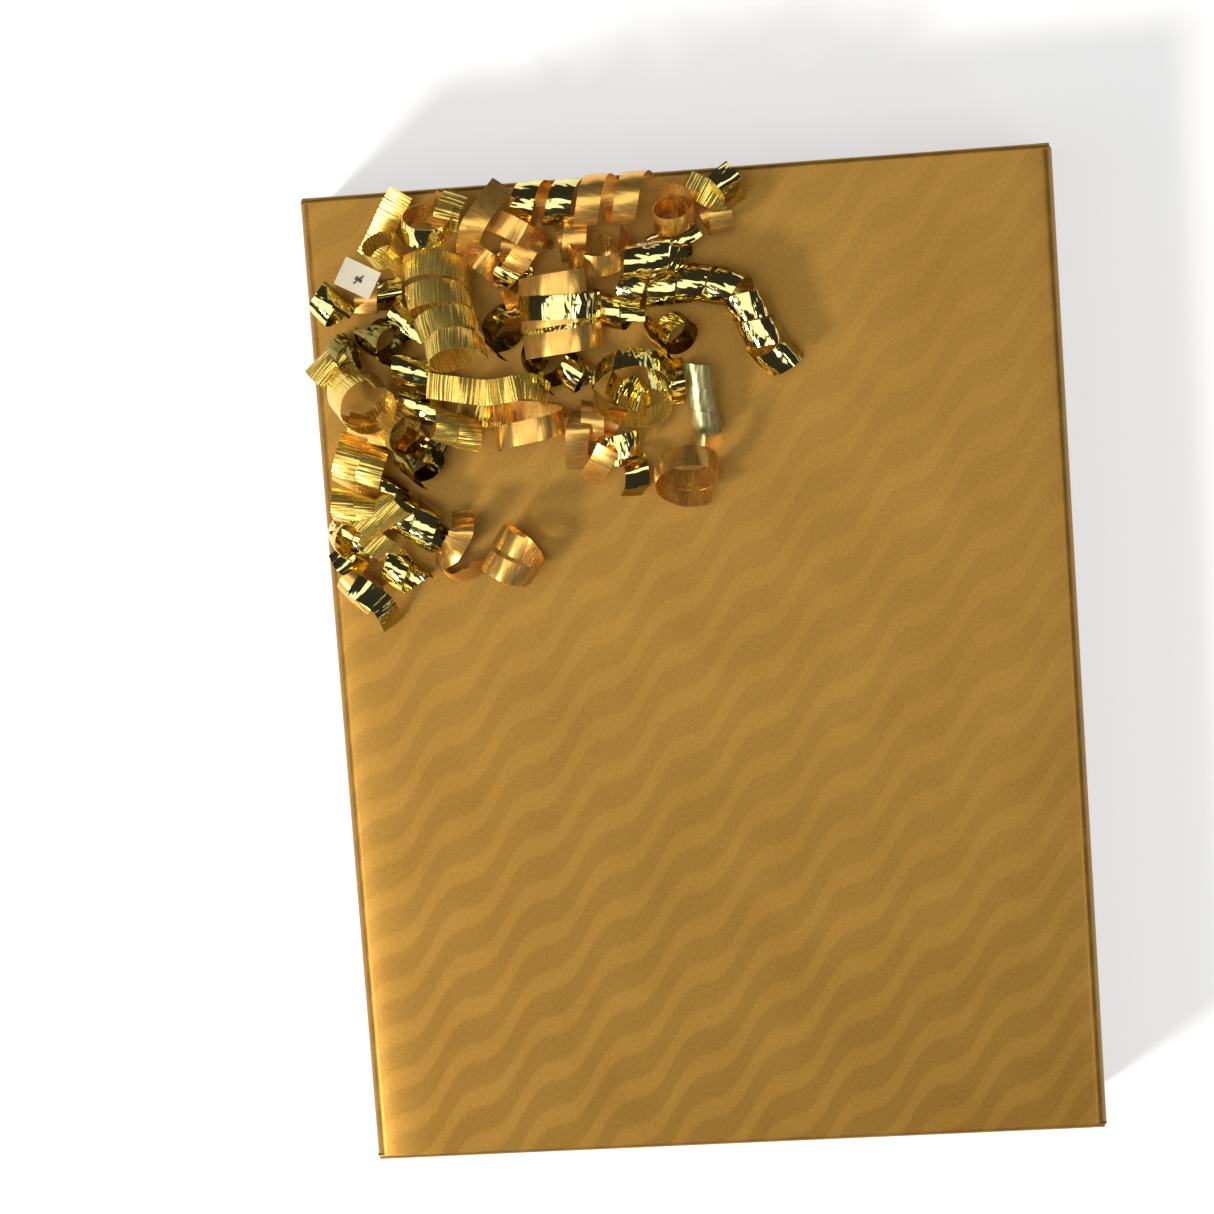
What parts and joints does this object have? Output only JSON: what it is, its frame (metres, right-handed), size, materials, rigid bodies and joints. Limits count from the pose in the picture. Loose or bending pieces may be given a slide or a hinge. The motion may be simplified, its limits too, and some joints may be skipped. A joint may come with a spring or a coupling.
{
  "type": "gift-wrapped box",
  "caption": "Flat gift box wrapped in metallic gold paper, with hinged end folds and a spray of curled ribbon at one corner.",
  "frame": {"origin": "middle of the flat underside of the wrapped box", "axes": "+Z out of the patterned face, +Y along the long side towards the ribbon end, +X along the short side towards the corner without ribbon"},
  "size_m": [0.208, 0.2766, 0.0713],
  "materials": {
    "card": "pale matt card",
    "foil_ribbon": "mirror gold foil",
    "foam_pad": "adhesive foam",
    "chipboard": "uncoated grey-brown board",
    "crimped_ribbon": "yellow-gold, crimped across its width",
    "clear_tape": "clear film",
    "gold_paper": "metallic gold with a tone-on-tone wave pattern",
    "olive_ribbon": "dark olive-gold foil back",
    "peach_ribbon": "satin copper-gold with fine cross lines",
    "tissue": "matt white tissue"
  },
  "bodies": {
    "parcel": {"bow_card": "card", "bow_knot": "foil_ribbon", "bow_pad": "foam_pad", "box_base": "chipboard", "box_lid": "chipboard", "crimp_band_long": "crimped_ribbon", "crimp_coil_large": "crimped_ribbon", "crimp_coil_left": "crimped_ribbon", "crimp_curl_lower_left": "crimped_ribbon", "crimp_curl_middle": "crimped_ribbon", "crimp_loop_by_card": "crimped_ribbon", "crimp_ring_left": "crimped_ribbon", "crimp_ring_lower_left": "crimped_ribbon", "crimp_strip_top_left": "crimped_ribbon", "foil_band_under_loop": "foil_ribbon", "foil_bunch_centre": "foil_ribbon", "foil_curl_left_middle": "foil_ribbon", "foil_curl_left_of_loop": "foil_ribbon", "foil_end_lower": "foil_ribbon", "foil_end_top_right": "foil_ribbon", "foil_helix_right": "foil_ribbon", "foil_helix_top": "foil_ribbon", "foil_loop_centre": "foil_ribbon", "foil_loop_top_left": "foil_ribbon", "foil_strip_by_card": "foil_ribbon", "foil_tangle_lower": "foil_ribbon", "foil_tip_centre": "foil_ribbon", "foil_tip_lower": "foil_ribbon", "foil_tube_right": "foil_ribbon", "foil_twist_top": "foil_ribbon", "olive_ring_centre": "olive_ribbon", "olive_ring_left": "olive_ribbon", "olive_ring_lower": "olive_ribbon", "peach_curl_lower_left": "peach_ribbon", "peach_curl_lower_right": "peach_ribbon", "peach_curl_top_right": "peach_ribbon", "peach_curl_zig": "peach_ribbon", "peach_helix_centre": "peach_ribbon", "peach_helix_top": "peach_ribbon", "peach_loop_lower": "peach_ribbon", "peach_loop_right": "peach_ribbon", "peach_ring_top_large": "peach_ribbon", "peach_ring_top_right": "peach_ribbon", "peach_strip_down": "peach_ribbon", "peach_strip_right_of_top": "peach_ribbon", "peach_strip_square": "peach_ribbon", "peach_strip_top": "peach_ribbon", "seam_tape": "clear_tape", "tissue_sheet": "tissue", "wrap_sleeve": "gold_paper"},
    "head_outer_flap": {"head_outer_flap": "gold_paper", "head_flap_tape": "clear_tape"},
    "head_inner_flap": {"head_inner_flap": "gold_paper"},
    "head_left_tuck": {"head_left_tuck": "gold_paper"},
    "head_right_tuck": {"head_right_tuck": "gold_paper"},
    "foot_outer_flap": {"foot_outer_flap": "gold_paper", "foot_flap_tape": "clear_tape"},
    "foot_inner_flap": {"foot_inner_flap": "gold_paper"},
    "foot_left_tuck": {"foot_left_tuck": "gold_paper"},
    "foot_right_tuck": {"foot_right_tuck": "gold_paper"}
  },
  "joints": [
    {"name": "head_outer_fold", "type": "hinge", "parent": "parcel", "child": "head_outer_flap", "pos_m": [0, 0.13737, 0.04068], "axis": [1, 0, 0], "range_deg": [0, 90]},
    {"name": "head_inner_fold", "type": "hinge", "parent": "parcel", "child": "head_inner_flap", "pos_m": [0, 0.13687, 0.00032], "axis": [1, 0, 0], "range_deg": [-54, 0]},
    {"name": "head_left_tuck_fold", "type": "hinge", "parent": "parcel", "child": "head_left_tuck", "pos_m": [-0.10375, 0.13637, 0.0205], "axis": [0, 0, 1], "range_deg": [0, 45]},
    {"name": "head_right_tuck_fold", "type": "hinge", "parent": "parcel", "child": "head_right_tuck", "pos_m": [0.10375, 0.13637, 0.0205], "axis": [0, 0, 1], "range_deg": [-45, 0]},
    {"name": "foot_outer_fold", "type": "hinge", "parent": "parcel", "child": "foot_outer_flap", "pos_m": [0, -0.13737, 0.04068], "axis": [-1, 0, 0], "range_deg": [0, 90]},
    {"name": "foot_inner_fold", "type": "hinge", "parent": "parcel", "child": "foot_inner_flap", "pos_m": [0, -0.13687, 0.00032], "axis": [-1, 0, 0], "range_deg": [-54, 0]},
    {"name": "foot_left_tuck_fold", "type": "hinge", "parent": "parcel", "child": "foot_left_tuck", "pos_m": [-0.10375, -0.13637, 0.0205], "axis": [0, 0, 1], "range_deg": [-45, 0]},
    {"name": "foot_right_tuck_fold", "type": "hinge", "parent": "parcel", "child": "foot_right_tuck", "pos_m": [0.10375, -0.13637, 0.0205], "axis": [0, 0, 1], "range_deg": [0, 45]}
  ],
  "couplings": [
    {"joint": "head_inner_fold", "follows": "head_outer_fold", "ratio": -0.6},
    {"joint": "head_left_tuck_fold", "follows": "head_outer_fold", "ratio": 0.5},
    {"joint": "head_right_tuck_fold", "follows": "head_outer_fold", "ratio": -0.5},
    {"joint": "foot_inner_fold", "follows": "foot_outer_fold", "ratio": -0.6},
    {"joint": "foot_left_tuck_fold", "follows": "foot_outer_fold", "ratio": -0.5},
    {"joint": "foot_right_tuck_fold", "follows": "foot_outer_fold", "ratio": 0.5}
  ]
}
